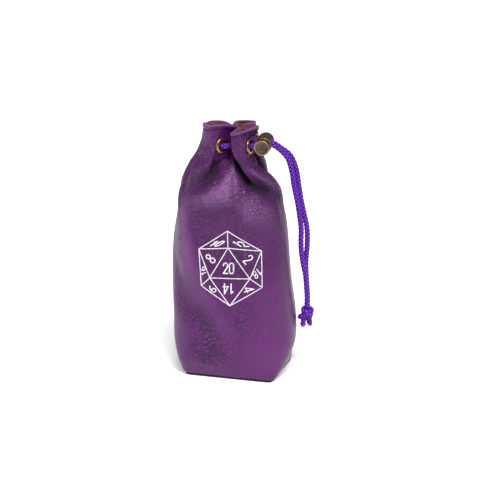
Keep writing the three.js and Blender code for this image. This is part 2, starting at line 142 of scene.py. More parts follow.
def plain_row(u, level):
    """The outside of the pouch at one level, before the leather's own folds."""
    neck = closed_curve(NECK_OUTLINE, u)
    if level > CORD_LEVEL:
        t = ((level - CORD_LEVEL) / (RIM_LEVEL - CORD_LEVEL)) ** RIM_FLARE
        low = np.column_stack([neck, np.full(len(u), CORD_LEVEL)])
        return low * (1 - t) + closed_curve(RIM_OUTLINE, u) * t
    height = max(level, 0.0)
    centre, width, depth, power, turn, gather = section_values(height)
    forward = SEAM_FORWARD * smoothstep(height, 8, 36) / FLAT_PERIMETER
    xy = oval(u + forward, width, depth, power)
    if level < 0:
        inward = -level / FLOOR_SPAN
        side = np.where(u - np.floor(u) < 0.5, -1.0, 1.0)
        xy = np.column_stack([xy[:, 0] * (1 - FLOOR_TAPER * inward),
                              xy[:, 1] * (1 - inward) + side * inward * SEAM_GAP])
    a = math.radians(turn)
    xy = xy @ np.array([[math.cos(a), math.sin(a)], [-math.sin(a), math.cos(a)]])
    gather = min(max(gather, 0), 1)
    xy = xy * (1 - gather) + (neck - NECK_CENTRE) * (width / NECK_RADIUS) * gather
    return np.column_stack([xy[:, 0] + centre, xy[:, 1], np.full(len(u), height)])


def plain_grid(u, levels):
    return np.array([plain_row(u, level) for level in levels])


def unit(v):
    return v / np.maximum(np.linalg.norm(v, axis=-1, keepdims=True), 1e-12)


def grid_normals(grid):
    return unit(np.cross(np.gradient(grid, axis=1), np.gradient(grid, axis=0)))


def neighbours(grid):
    """The values below, above, left and right of each point of a grid."""
    p = np.pad(grid, ((1, 1), (1, 1)) + ((0, 0),) * (grid.ndim - 2), mode="edge")
    return np.array([p[:-2, 1:-1], p[2:, 1:-1], p[1:-1, :-2], p[1:-1, 2:]])


def soft_normals(normals, passes=40):
    """Normals evened out over a few millimetres, so that layers laid along them stay apart."""
    for _ in range(passes):
        normals = unit(neighbours(normals).sum(axis=0))
    return normals


def grid_faces(rows, columns, start=0, turned=False):
    j, i = np.meshgrid(np.arange(rows - 1), np.arange(columns - 1), indexing="ij")
    a = (start + j * columns + i).ravel()
    quads = np.column_stack([a, a + 1, a + 1 + columns, a + columns])
    return (quads[:, ::-1] if turned else quads).tolist()


def smoothstep(x, low, high):
    t = np.clip((x - low) / (high - low), 0, 1)
    return t * t * (3 - 2 * t)


def find_seats():
    """Each eyelet's share of the way round, its centre and its axis."""
    found = []
    for place in EYELET_PLACES:
        u = place / len(NECK_OUTLINE)
        around = np.array([u - 0.002, u, u + 0.002])
        g = plain_grid(around, [CORD_LEVEL - 0.4, CORD_LEVEL, CORD_LEVEL + 0.4])
        n = np.cross(g[1, 2] - g[1, 0], g[2, 1] - g[0, 1])
        n[2] = 0
        found.append((u, g[1, 1], unit(n)))
    return found


SEATS = find_seats()


def seat_hold(u, levels, seat_u, inner, outer):
    """1 within inner mm of an eyelet's centre on the flat leather, falling to 0 at outer mm."""
    turn = (u - seat_u + 0.5) % 1 - 0.5
    away = np.hypot(turn[None, :] * FLAT_PERIMETER, levels[:, None] - CORD_LEVEL)
    return 1 - smoothstep(away, inner, outer)


# ---- The leather's folds ----
# Each fold is a line on the flat leather with its own depth and half widths along it: places are
# (millimetres round from the left seam, level, depth, half width on the left of the line's way, on the
# right). A negative depth is a ridge. Each valley starts with how dark the shade painted in its crease is.
VALLEYS = [
    (0.65, [(42, 131, 1.8, 2.6, 2.6), (40, 126, 4.2, 3.2, 4.0), (36, 120.5, 5.0, 3.6, 6.0),
           (30, 115.5, 3.8, 4.2, 7.0), (22, 111, 1.8, 5.0, 7.0), (12, 108, 0.5, 6.0, 6.0)]),
    (1.0, [(50.5, 130, 2.6, 3.2, 2.4), (53, 126, 5.6, 5.2, 2.8), (56, 121, 7.2, 6.4, 3.4),
           (59.5, 117, 6.4, 6.0, 4.4), (65, 113.5, 3.9, 4.5, 5.4), (73, 110, 2.6, 3.6, 6.0),
           (81, 106, 1.6, 4.0, 7.0), (90, 99, 0.5, 6.0, 8.0)]),
    (0.3, [(22, 104, 0.4, 6, 6), (28, 99, 1.6, 6, 7), (37, 92, 1.7, 7, 8),
           (46, 86, 0.6, 8, 9), (60, 82, 0.4, 9, 9)]),
    (0.3, [(4, 74, 0.3, 5, 4), (9, 62, 1.3, 6, 5), (16, 50, 1.6, 7, 6),
           (24, 38, 1.4, 8, 6), (34, 26, 0.6, 8, 7)]),
    (0.4, [(88, 128, 1.0, 2.4, 2.4), (92, 121, 1.8, 3, 3), (98, 113, 0.6, 4, 4)]),
    (0.7, [(101, 126, 1.5, 3, 3), (106, 116, 2.6, 5, 5), (114, 106, 0.6, 6, 6)]),
    (0.7, [(145, 129, 2.0, 3, 3), (140, 119, 3.4, 4, 6), (130, 108, 1.0, 6, 8)]),
    (0.7, [(153, 129, 2.0, 3, 3), (160, 118, 3.4, 6, 4), (170, 106, 1.0, 8, 6)]),
    (0.5, [(2, 127, 1.0, 3, 3), (190, 117, 2.5, 4.5, 4.5), (184, 107, 0.6, 6, 6)]),
]
RIDGES = [
    [(51, 130, -1.4, 2.6, 2.2), (50, 124, -3.8, 5.0, 3.4), (47, 117, -3.6, 8.0, 4.2),
     (41, 110, -3.0, 9.0, 4.8), (31, 105, -2.4, 9.0, 5.0), (18, 101, -1.2, 8.0, 6.0)],
    [(39, 130, -0.4, 3, 3), (31.5, 126.5, -0.9, 4, 4), (26, 122, -1.1, 5, 4),
     (19, 116, -1.0, 6, 5), (11, 110, -0.4, 6, 6)],
    [(71, 127, -0.6, 4.0, 2.0), (73.5, 120, -1.4, 5.0, 2.4), (78, 113.5, -1.8, 7.0, 3.0),
     (85, 106, -0.9, 8.0, 5.0)],
    [(50, 104, -1.0, 9, 8), (57, 99, -2.8, 12, 11), (66, 96, -2.0, 12, 11)],
    [(89, 137, -2.4, 4, 5), (91, 141, -2.0, 5, 5), (91, 145, -1.0, 5, 5)],
    [(7, 101, -0.8, 6, 6), (14, 92, -1.8, 6, 7), (19, 79, -2.0, 7, 7), (23, 64, -1.8, 7, 8),
     (30, 48, -1.7, 8, 8), (39, 33, -1.6, 8, 8), (47, 19, -1.2, 8, 8), (52, 8, -0.5, 8, 8)],
    [(64, 60, -0.3, 9, 9), (70, 40, -0.8, 9, 9), (73, 22, -0.7, 9, 9), (74, 8, -0.3, 8, 8)],
    [(147, 130, -1.4, 3, 3), (149, 116, -2.6, 6, 6), (150, 98, -0.6, 9, 9)],
]
PLEAT_WAVES = ((31, 0.9, 0.16), (23, 2.1, 0.2), (17, 4.0, 0.22))
SWELL_SEED, SWELL_WAVES, SWELL_HEIGHT = 11, 22, 0.42
HEM_DEPTH, HEM_STEP, HEM_GROOVE, HEM_GROOVE_WIDTH = 3.4, 0.4, 0.5, 0.5
HEM_BELOW, HEM_ABOVE = 0.5, 0.3
BASE_ROUND, BASE_ROUND_TOP = 1.0, 2.2
SEAM_PULL, SEAM_WIDTH, SEAM_SOFT = 1.5, 1.2, 2.5
# Pairs of levels between which something comes in or goes out.
PLEAT_RISE, PLEAT_FADE, PLEAT_LOSS = (84, 112), (128, 140), 0.6
SWELL_RISE, SWELL_FADE = (2, 16), (118, 132)
# How near an eyelet's centre folds are held down, and where they are free again.
SEAT_CLEAR = (5.4, 9.5)
# Fold depths between which the painted shade of a crease comes in, and ridge heights between which a painted
# highlight comes in.
SHADE_DEPTHS, PAINTED_HIGHLIGHT_HEIGHTS = (0.4, 3.6), (0.7, 3.2)
SEAM_SHADE, SEAM_SHADE_WIDTH, GROOVE_SHADE = 0.9, 0.9, 0.15
BASE_SHADE, BASE_SHADE_TOP = 0.85, 1.6
# Below the rim: where the rim edge's paler colour and painted highlight start and where they are full; and
# the least fine grain anywhere.
EDGE_START, EDGE_FULL, GRAIN_LEAST = 1.2, 0.3, 0.15
# Where the fine grain shows, where it is wrinkled coarsely, and where a broad highlight is painted on the
# smooth
# leather: place, level, reach and strength.
GRAIN_PATCHES = ((20, 118, 26, 0.8), (50, 110, 24, 0.8), (80, 120, 26, 0.8), (44, 86, 22, 0.8),
                 (20, 40, 22, 0.5), (52, 66, 18, 0.4), (120, 100, 30, 0.8),
                 (160, 110, 34, 0.8), (150, 60, 34, 0.6))
WRINKLE_PATCHES = ((26, 32, 15, 0.9), (40, 16, 12, 1.0), (52, 38, 9, 0.8), (10, 44, 10, 0.6),
                   (34, 90, 12, 0.5), (58, 88, 10, 0.5), (150, 50, 26, 0.6))
PAINTED_HIGHLIGHT_PATCHES = ((78, 34, 24, 0.26), (84, 12, 16, 0.16), (130, 40, 26, 0.3))


def fold_field(x, y, line):
    """A fold's depth at flat places x, y, from the nearest point of its line."""
    best = np.full(x.shape, 1e9)
    depth = np.zeros(x.shape)
    for (x0, y0, d0, *w0), (x1, y1, d1, *w1) in zip(line, line[1:]):
        px = (x - x0 + FLAT_PERIMETER / 2) % FLAT_PERIMETER - FLAT_PERIMETER / 2
        py = y - y0
        dx, dy = x1 - x0, y1 - y0
        t = np.clip((px * dx + py * dy) / (dx * dx + dy * dy), 0, 1)
        away = np.hypot(px - t * dx, py - t * dy)
        nearer = away < best
        left = dx * py - dy * px > 0
        width = np.where(left, w0[0] + (w1[0] - w0[0]) * t, w0[1] + (w1[1] - w0[1]) * t)
        value = (d0 + (d1 - d0) * t) * np.exp(-(away / width) ** 2)
        depth = np.where(nearer, value, depth)
        best = np.minimum(best, away)
    return depth


def patches(x, y, spots):
    """The sum of soft round spots (place, level, reach, strength) on the flat leather."""
    total = np.zeros(x.shape)
    for cx, cy, reach, strength in spots:
        aside = (x - cx + FLAT_PERIMETER / 2) % FLAT_PERIMETER - FLAT_PERIMETER / 2
        total = total + strength * np.exp(-(aside ** 2 + (y - cy) ** 2) / reach ** 2)
    return total


def swells(x, y):
    """Soft uneven swells of the leather, the same at both seams."""
    rng = np.random.default_rng(SWELL_SEED)
    total = np.zeros(x.shape)
    for _ in range(SWELL_WAVES):
        around = rng.integers(1, 9)
        up = rng.uniform(-0.16, 0.16)
        phase = rng.uniform(0, 2 * math.pi)
        total += np.sin(2 * math.pi * around * x / FLAT_PERIMETER + up * y + phase) / (1 + 0.25 * around)
    return total / math.sqrt(SWELL_WAVES)


THIN_STEP = 2.0
THIN_LEVELS = np.arange(80.0, RIM_LEVEL + 0.1, THIN_STEP)
THIN_COLUMNS, THIN_SHARE, THIN_LEAST, THIN_MOST, THIN_PASSES = 240, 0.36, 0.5, 30.0, 6
# A ray starts this far off the surface that it leaves.
RAY_START = 0.05
FOLD_ROOM = []


def fold_room():
    """How far in a fold may go before it nears the opposite wall, over the upper part of the pouch."""
    u = np.linspace(0, 1, THIN_COLUMNS + 1)
    grid = plain_grid(u, THIN_LEVELS)
    normals = grid_normals(grid)
    tree = BVHTree.FromPolygons(grid.reshape(-1, 3).tolist(), grid_faces(*grid.shape[:2]))
    free = np.full(grid.shape[:2], THIN_MOST)
    for j, i in np.ndindex(*free.shape):
        inward = Vector(-normals[j, i])
        hit, _, _, away = tree.ray_cast(Vector(grid[j, i]) + inward * RAY_START, inward)
        if hit is not None:
            free[j, i] = min(THIN_MOST, away)
    for _ in range(THIN_PASSES):
        free = np.minimum(free, neighbours(free).sum(axis=0) / 4)
    return np.maximum(free * THIN_SHARE - THIN_LEAST, THIN_LEAST)


def room_at(u, levels):
    """The allowed depth of folds at a grid of places."""
    if not FOLD_ROOM:
        FOLD_ROOM.append(fold_room())
    table = FOLD_ROOM[0]
    columns = (u - np.floor(u)) * THIN_COLUMNS
    rows = np.clip((levels - THIN_LEVELS[0]) / THIN_STEP, 0, len(THIN_LEVELS) - 1)
    across = np.array([np.interp(columns, np.arange(THIN_COLUMNS + 1), row) for row in table])
    low = np.floor(rows).astype(int)
    high = np.minimum(low + 1, len(THIN_LEVELS) - 1)
    part = (rows - low)[:, None]
    return across[low] * (1 - part) + across[high] * part


# Columns worked out beyond a panel's two side seams, so that both panels lean the same way along a seam.
MARGIN = 14


def plain_surface(u, levels):
    """The unfolded outside of the pouch on a grid, its normals and its softened normals."""
    beyond = (u[1] - u[0]) * np.arange(1, MARGIN + 1)
    base = plain_grid(np.concatenate([u[0] - beyond[::-1], u, u[-1] + beyond]), levels)
    normals = grid_normals(base)
    soft = soft_normals(normals)
    return tuple(grid[:, MARGIN:-MARGIN] for grid in (base, normals, soft))


def seam_distance(x):
    return np.minimum((x + 1e-9) % (FLAT_PERIMETER / 2), (-x) % (FLAT_PERIMETER / 2))


def hem_groove(y):
    return np.exp(-((y - (RIM_LEVEL - HEM_DEPTH)) / HEM_GROOVE_WIDTH) ** 2)


def leather_move(x, y, valley, ridge):
    """How far out the leather lies at flat places x, y, before eyelets and nearby walls hold it."""
    upper = smoothstep(y, *PLEAT_RISE) * (1 - PLEAT_LOSS * smoothstep(y, *PLEAT_FADE))
    pleats = sum(h * np.sin(2 * math.pi * n * x / FLAT_PERIMETER + p + 0.05 * y) for n, p, h in PLEAT_WAVES)
    body = smoothstep(y, *SWELL_RISE) * (1 - smoothstep(y, *SWELL_FADE))
    move = -valley - ridge + SWELL_HEIGHT * swells(x, y) * body + pleats * upper
    move = move - SEAM_PULL * np.exp(-(seam_distance(x) / SEAM_WIDTH) ** 2)
    fold = RIM_LEVEL - HEM_DEPTH
    hem = smoothstep(y, fold - HEM_BELOW, fold + HEM_ABOVE)
    base = 1 - smoothstep(y, 0, BASE_ROUND_TOP)
    return move + HEM_STEP * hem - HEM_GROOVE * hem_groove(y) - BASE_ROUND * base


def painted_light_and_grain(x, y, shade, ridge):
    """The leather's painted shade, painted highlights, grain and wrinkles at flat places x, y, each 0 to 1.
    """
    seam = np.exp(-(seam_distance(x) / SEAM_SHADE_WIDTH) ** 2)
    # Painted shade: darker in the folds' creases, along the side seams, in the hem's groove and along the
    # base's bottom edge.
    dark = (shade + SEAM_SHADE * seam + GROOVE_SHADE * hem_groove(y)
            + BASE_SHADE * (1 - smoothstep(y, 0, BASE_SHADE_TOP)))
    # Painted highlight: paler on ridges, in broad patches and along the rim, where the cut edge's own paler
    # colour adds to it.
    edge = smoothstep(y, RIM_LEVEL - EDGE_START, RIM_LEVEL - EDGE_FULL)
    return {"painted_shade": dark,
            "painted_highlight": patches(x, y, PAINTED_HIGHLIGHT_PATCHES) + smoothstep(-ridge, *PAINTED_HIGHLIGHT_HEIGHTS) + edge,
            "grain": GRAIN_LEAST + patches(x, y, GRAIN_PATCHES),
            "wrinkle": patches(x, y, WRINKLE_PATCHES)}


def surface(u, levels):
    """The folded outside of the pouch on a grid, its softened normals, the leather's painted shade, painted
    highlights, grain and wrinkles there, and how far each point has moved."""
    base, normals, soft = plain_surface(u, levels)
    x = np.broadcast_to(u[None, :] * FLAT_PERIMETER, base.shape[:2])
    y = np.broadcast_to(levels[:, None], base.shape[:2])
    depths = [fold_field(x, y, line) for _, line in VALLEYS]
    shade = sum(darkness * smoothstep(depth, *SHADE_DEPTHS) for (darkness, _), depth in zip(VALLEYS, depths))
    ridge = sum(fold_field(x, y, line) for line in RIDGES)
    lean = np.exp(-(seam_distance(x) / SEAM_SOFT) ** 2)[..., None]
    normals = unit(normals * (1 - lean) + soft * lean)
    free = np.ones(base.shape[:2])
    for seat_u, _, _ in SEATS:
        free = free * (1 - seat_hold(u, levels, seat_u, *SEAT_CLEAR))
    move = np.maximum(leather_move(x, y, sum(depths), ridge) * free, -room_at(u, levels))
    folded = base + normals * move[..., None]
    for seat_u, centre, axis in SEATS:
        hold = seat_hold(u, levels, seat_u, FLAT_RADIUS, FLAT_BLEND)
        folded = folded - axis * (hold * ((folded - centre) @ axis))[..., None]
    folded[..., 2] = np.where(levels[:, None] <= 0, 0, np.maximum(folded[..., 2], 0))
    return folded, soft, painted_light_and_grain(x, y, shade * free, ridge), move


# ---- Meshes ----


def add_mesh(name, points, faces, material, scale=MM):
    mesh = bpy.data.meshes.new(name)
    mesh.from_pydata((np.asarray(points) * scale).tolist(), [], faces)
    mesh.update()
    mesh.shade_smooth()
    thing = bpy.data.objects.new(name, mesh)
    bpy.context.scene.collection.objects.link(thing)
    mesh.materials.append(material)
    return thing


def set_attribute(thing, name, values):
    layer = thing.data.attributes.new(name, "FLOAT", "POINT")
    layer.data.foreach_set("value", np.asarray(values, np.float32).ravel())


def stand_for(piece, body, node):
    """Ties a piece to its body and hides the solid that it replaces."""
    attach(piece, body)
    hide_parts(node)


def edge_faces(rows, columns):
    """The faces that close the four edges between two grids of the same size."""
    half = rows * columns
    ring = ([(0, i) for i in range(columns)] + [(j, columns - 1) for j in range(1, rows)]
            + [(rows - 1, i) for i in range(columns - 2, -1, -1)] + [(j, 0) for j in range(rows - 2, 0, -1)])
    index = [j * columns + i for j, i in ring]
    return [(b, a, a + half, b + half) for a, b in zip(index, index[1:] + index[:1])]


PANEL_COLUMNS = 132
BODY_STEP, FLOOR_STEP = 0.9, 2.2


def level_rows():
    return np.concatenate([np.arange(-FLOOR_SPAN, 0, FLOOR_STEP),
                           np.arange(0, 3, 0.5), np.arange(3, RIM_LEVEL - 6, BODY_STEP),
                           np.linspace(RIM_LEVEL - 6, RIM_LEVEL, 16)])


def outside_tree():
    """The whole outside of the pouch, to keep the layers behind it."""
    u = np.linspace(0, 1, 2 * PANEL_COLUMNS + 1)
    points = surface(u, level_rows())[0]
    rows, columns = points.shape[:2]
    return BVHTree.FromPolygons(points.reshape(-1, 3).tolist(), grid_faces(rows, columns))


ROOM_SHARE, ROOM_REACH, ROOM_PASSES, ROOM_RISE, ROOM_LEAST = 0.4, 9.0, 3, 0.12, 0.06
SUNK_MOST, LAYER_SHARP = 2.2, 50


def room(points, normals, tree):
    """How much of their full depth the layers take at each point, where two walls of a fold lie close."""
    deepest = LINING_TOP + LINING
    share = np.ones(points.shape[:2])
    for j, i in np.ndindex(*share.shape):
        inward = Vector(-normals[j, i])
        hit, _, _, away = tree.ray_cast(Vector(points[j, i]) + inward * RAY_START, inward, ROOM_REACH)
        if hit is not None:
            share[j, i] = min(1.0, ROOM_SHARE * away / deepest)
    for _ in range(ROOM_PASSES):
        share = np.minimum(share, neighbours(share).min(axis=0) + ROOM_RISE)
    return np.clip(share, ROOM_LEAST, 1)


def sunk(height, depth):
    """How far down each point of a layer goes to stay a full depth under a folded surface."""
    column = FLAT_PERIMETER / 2 / PANEL_COLUMNS
    lowest = height - depth
    across, up = int(depth / column), int(depth / BODY_STEP)
    padded = np.pad(height, ((up, up), (across, across)), mode="edge")
    rows, columns = height.shape
    for j in range(-up, up + 1):
        for i in range(-across, across + 1):
            away = math.hypot(i * column, j * BODY_STEP)
            if 0 < away < depth:
                near = padded[up + j:up + j + rows, across + i:across + i + columns]
                lowest = np.minimum(lowest, near - math.sqrt(depth ** 2 - away ** 2))
    return np.minimum(height - lowest, depth * SUNK_MOST)


def layer(name, start, near, far, material, tree):
    """One sewn layer: a closed shell between two depths below the outside of the pouch."""
    gap = SEAM_GAP / FLAT_PERIMETER
    u = start + np.linspace(gap, 0.5 - gap, PANEL_COLUMNS + 1)
    levels = level_rows()
    points, normals, grain_and_painted_light, move = surface(u, levels)
    share = room(points, normals, tree)
    shells = []
    for depth in (near, far):
        shell = points - normals * (sunk(move, depth) * share)[..., None]
        bottom = levels <= 0
        shell[bottom, :, 2] = depth
        shells.append(shell.reshape(-1, 3))
    rows, columns = points.shape[:2]
    faces = (grid_faces(rows, columns) + grid_faces(rows, columns, rows * columns, True)
             + edge_faces(rows, columns))
    thing = add_mesh(name, np.vstack(shells), faces, material)
    for mark, values in grain_and_painted_light.items():
        set_attribute(thing, mark, np.concatenate([np.clip(values, 0, 1).ravel()] * 2))
    thing.data.set_sharp_from_angle(angle=math.radians(LAYER_SHARP))
    return thing


# ---- Materials ----


def colour(red, green, blue):
    """Linear colour from display values of 0 to 255."""
    def linear(v):
        v /= 255
        return v / 12.92 if v <= 0.04045 else ((v + 0.055) / 1.055) ** 2.4
    return (linear(red), linear(green), linear(blue), 1.0)


class Nodes:
    """A short way to write a node material."""

    def __init__(self, name, **settings):
        self.material = bpy.data.materials.new(name)
        self.material.use_nodes = True
        self.tree = self.material.node_tree
        self.shader = self.tree.nodes["Principled BSDF"]
        for key, value in settings.items():
            self.shader.inputs[key.replace("_", " ")].default_value = value

    def add(self, kind, inputs=None, **settings):
        node = self.tree.nodes.new(kind)
        for key, value in settings.items():
            setattr(node, key, value)
        for key, value in (inputs or {}).items():
            if isinstance(value, bpy.types.NodeSocket):
                self.tree.links.new(value, node.inputs[key])
            else:
                node.inputs[key].default_value = value
        return node

    def link(self, output, key):
        self.tree.links.new(output, self.shader.inputs[key])

    def place(self):
        return self.add("ShaderNodeTexCoord").outputs["Object"]

    def noise(self, scale, detail=2.0, **more):
        inputs = {"Vector": self.place(), "Scale": scale, "Detail": detail, **more}
        return self.add("ShaderNodeTexNoise", inputs).outputs["Fac"]

    def warped(self, scale, reach):
        """Object coordinates pushed about by noise, so that cells aren't straight-sided."""
        wobble = self.add("ShaderNodeTexNoise", {"Vector": self.place(), "Scale": scale}).outputs["Color"]
        push = self.add("ShaderNodeVectorMath", {0: wobble, 1: (reach, reach, reach)}, operation="MULTIPLY")
        moved = self.add("ShaderNodeVectorMath", {0: self.place(), 1: push.outputs[0]}).outputs[0]
        return self.add("ShaderNodeVectorMath", {0: moved, 1: CELL_STRETCH}, operation="MULTIPLY").outputs[0]

    def ramp(self, value, low, high, out_low=0.0, out_high=1.0):
        inputs = {"Value": value, "From Min": low, "From Max": high, "To Min": out_low, "To Max": out_high}
        return self.add("ShaderNodeMapRange", inputs).outputs["Result"]

    def mix(self, factor, a, b):
        return self.add("ShaderNodeMix", {0: factor, 6: a, 7: b}, data_type="RGBA").outputs[2]

    def attribute(self, name):
        return self.add("ShaderNodeAttribute", attribute_name=name).outputs["Fac"]

    def math(self, operation, a, b=0.0):
        return self.add("ShaderNodeMath", {0: a, 1: b}, operation=operation).outputs[0]

    def bump(self, height, strength, distance, normal=None):
        inputs = {"Height": height, "Strength": strength, "Distance": distance}
        if normal is not None:
            inputs["Normal"] = normal
        return self.add("ShaderNodeBump", inputs).outputs["Normal"]


CELL_STRETCH = (0.72, 0.72, 1.2)


def leather_lines(m, scale, reach, width, strength):
    """Dark lines between cells of grain: scale in cells to a metre, as strong as the named marking."""
    where = m.warped(scale * 0.8, reach)
    cells = m.add("ShaderNodeTexVoronoi", {"Vector": where, "Scale": scale}, feature="DISTANCE_TO_EDGE")
    patchy = m.ramp(m.noise(90, 3), 0.35, 0.6, 0.6, 1.0)
    lines = m.ramp(cells.outputs["Distance"], 0.0, width, 1.0, 0.0)
    return m.math("MULTIPLY", lines, m.math("MULTIPLY", m.attribute(strength), patchy))


def leather_material():
    m = Nodes("leather", Roughness=0.34, Specular_IOR_Level=0.36)
    painted_highlight = m.attribute("painted_highlight")
    fine = m.math("MULTIPLY", leather_lines(m, 600.0, 0.001, 0.28, "grain"), 0.75)
    groove = m.math("MAXIMUM", leather_lines(m, 500.0, 0.0024, 0.34, "wrinkle"), fine)
    base = m.mix(m.ramp(m.noise(42, 3), 0.3, 0.7), colour(68, 5, 76), colour(86, 15, 93))
    base = m.mix(m.ramp(m.noise(520, 3), 0.38, 0.62, 0.0, 0.5), base, colour(66, 6, 76))
    # Painted highlight: paler greyish purple on ridges, in broad patches and along the rim edge, there
    # partly the cut edge's own colour.
    base = m.mix(m.math("MULTIPLY", painted_highlight, 0.7), base, colour(142, 92, 148))
    base = m.mix(m.math("MULTIPLY", m.math("SUBTRACT", 1.0, groove), m.attribute("wrinkle")), base,
                 colour(98, 28, 106))
    base = m.mix(groove, base, colour(40, 0, 52))
    # Painted shade: near black in the creases, along the seams, in the hem's groove and at the base's bottom
    # edge.
    m.link(m.mix(m.attribute("painted_shade"), base, colour(14, 1, 20)), "Base Color")
    gloss = m.math("ADD", m.ramp(m.noise(200, 2), 0.3, 0.7, 0.32, 0.41), m.math("MULTIPLY", groove, 0.3))
    m.link(m.math("ADD", gloss, m.math("MULTIPLY", m.attribute("painted_shade"), 0.5)), "Roughness")
    first = m.bump(m.math("SUBTRACT", 1.0, groove), 1.0, 0.00042)
    m.link(m.bump(m.noise(520, 3), 0.5, 0.00025, first), "Normal")
    return m.material


def lining_material():
    m = Nodes("suede_lining", Roughness=0.95, Sheen_Weight=0.5, Sheen_Roughness=0.5)
    m.shader.inputs["Sheen Tint"].default_value = colour(210, 150, 160)
    base = m.mix(m.ramp(m.noise(120, 4), 0.3, 0.7), colour(74, 20, 36), colour(122, 58, 78))
    m.link(base, "Base Color")
    m.link(m.bump(m.noise(2500, 2), 0.5, 0.00015), "Normal")
    return m.material


def metal_material(name, dark, bright, roughness, worn=None):
    m = Nodes(name, Metallic=1.0, Roughness=roughness)
    base = m.mix(m.ramp(m.noise(330, 4), 0.35, 0.65), dark, bright)
    if worn:
        edge = m.math("MULTIPLY", m.attribute("wear"), m.ramp(m.noise(500, 3), 0.3, 0.55))
        base = m.mix(edge, base, worn)
    m.link(base, "Base Color")
    m.link(m.ramp(m.noise(700, 2), 0.3, 0.7, roughness - 0.08, roughness + 0.1), "Roughness")
    m.link(m.bump(m.noise(1500, 2), 0.2, 0.00005), "Normal")
    return m.material


def cord_material():
    m = Nodes("braided_cord", Roughness=0.5, Specular_IOR_Level=0.25, Sheen_Weight=0.05, Sheen_Roughness=0.4)
    m.shader.inputs["Sheen Tint"].default_value = colour(190, 150, 255)
    height = m.attribute("braid")
    # The braid's colour follows its strands' height: painted shade in the hollows between the strands,
    # painted light on their raised tops.
    m.link(m.mix(m.ramp(height, 0.35, 0.95), colour(18, 0, 62), colour(134, 52, 222)), "Base Color")
    m.link(m.bump(m.noise(4000, 2), 0.4, 0.0001), "Normal")
    return m.material


def foil_material():
    m = Nodes("silver_foil", Roughness=0.4, Metallic=0.0)
    m.link(m.mix(m.ramp(m.noise(700, 2), 0.3, 0.7), colour(196, 184, 200), colour(240, 236, 242)),
           "Base Color")
    return m.material


def floor_material():
    m = Nodes("floor", Roughness=0.9, Emission_Strength=0.3)
    m.shader.inputs["Emission Color"].default_value = (1, 1, 1, 1)
    m.link(m.mix(m.noise(3, 2), (0.93, 0.93, 0.93, 1), (0.95, 0.95, 0.95, 1)), "Base Color")
    return m.material


# ---- Turned metal parts ----


def axes_matrix(origin, axis):
    """Local Y along the axis, in millimetres."""
    y = unit(np.asarray(axis, float))
    x = unit(np.cross(y, (0, 0, 1.0)))
    z = np.cross(x, y)
    return np.column_stack([x, y, z]), np.asarray(origin, float)


def turned(name, profile, place, sides, material, closed=True):
    """A lathe of the (radius, along) profile round the place's Y axis."""
    rotation, origin = place
    angle = np.linspace(0, 2 * np.pi, sides, endpoint=False)
    points, rings = [], []
    for r, along in profile:
        if r < 1e-6:
            rings.append([len(points)])
            points.append((0, along, 0))
        else:
            rings.append(list(range(len(points), len(points) + sides)))
            points += [(r * math.cos(a), along, r * math.sin(a)) for a in angle]
    pairs = list(zip(rings, rings[1:] + (rings[:1] if closed else [])))
    faces = []
    for low, high in pairs:
        for k in range(sides):
            n = (k + 1) % sides
            quad = [low[k % len(low)], high[k % len(high)], high[n % len(high)], low[n % len(low)]]
            faces.append(tuple(dict.fromkeys(quad)))
    faces = [f for f in faces if len(f) > 2]
    return add_mesh(name, np.array(points) @ rotation.T + origin, faces, material)


def rounded(corners, radius, steps=4):
    """A profile with its corners rounded."""
    out = []
    n = len(corners)
    for i in range(n):
        before, here, after = (np.array(corners[(i + k) % n], float) for k in (-1, 0, 1))
        if here[0] < 1e-6:
            out.append(tuple(here))
            continue
        a, b = before - here, after - here
        r = min(radius, 0.45 * np.linalg.norm(a), 0.45 * np.linalg.norm(b))
        start, end = here + unit(a) * r, here + unit(b) * r
        for k in range(steps + 1):
            t = k / steps
            out.append(tuple((1 - t) ** 2 * start + 2 * t * (1 - t) * here + t * t * end))
    return out


EYELET_SIDES, EYELET_ROUND, WASHER_ROUND = 48, 0.34, 0.15
# (radius, distance out of the leather)
EYELET_PROFILE = [(2.6, INSIDE), (3.6, INSIDE), (3.6, -3.2), (3.0, -3.2), (3.0, 0.12), (4.6, 0.12),
                  (4.5, 0.75), (3.6, 1.25), (2.75, 0.95), (2.6, 0.3)]
WASHER_PROFILE = [(3.3, -2.9), (4.6, -2.9), (4.6, -2.5), (3.3, -2.5)]


def make_eyelets(brass):
    for number, (_, centre, axis) in enumerate(SEATS, 1):
        place = axes_matrix(centre, axis)
        ring = rounded(EYELET_PROFILE, EYELET_ROUND)
        eyelet = turned(f"rolled_eyelet_{number}", ring, place, EYELET_SIDES, brass)
        stand_for(eyelet, "bag", f"eyelet_{number}")
        ring = rounded(WASHER_PROFILE, WASHER_ROUND)
        washer = turned(f"backing_washer_{number}", ring, place, EYELET_SIDES, brass)
        stand_for(washer, "bag", f"eyelet_washer_{number}")


LOCK_AXIS = unit(LOCK_BACK - LOCK_FACE)
LOCK_ACROSS = unit(np.array((1.0, 0, 0)) - LOCK_AXIS[0] * LOCK_AXIS)
LOCK_UP = np.cross(LOCK_ACROSS, LOCK_AXIS)
LOCK_PLACE = (np.column_stack([LOCK_ACROSS, LOCK_AXIS, LOCK_UP]), LOCK_FACE)
LOCK_SIDES = 72


def in_lock(across, along, up=0.0):
    return LOCK_FACE + LOCK_ACROSS * across + LOCK_AXIS * along + LOCK_UP * up


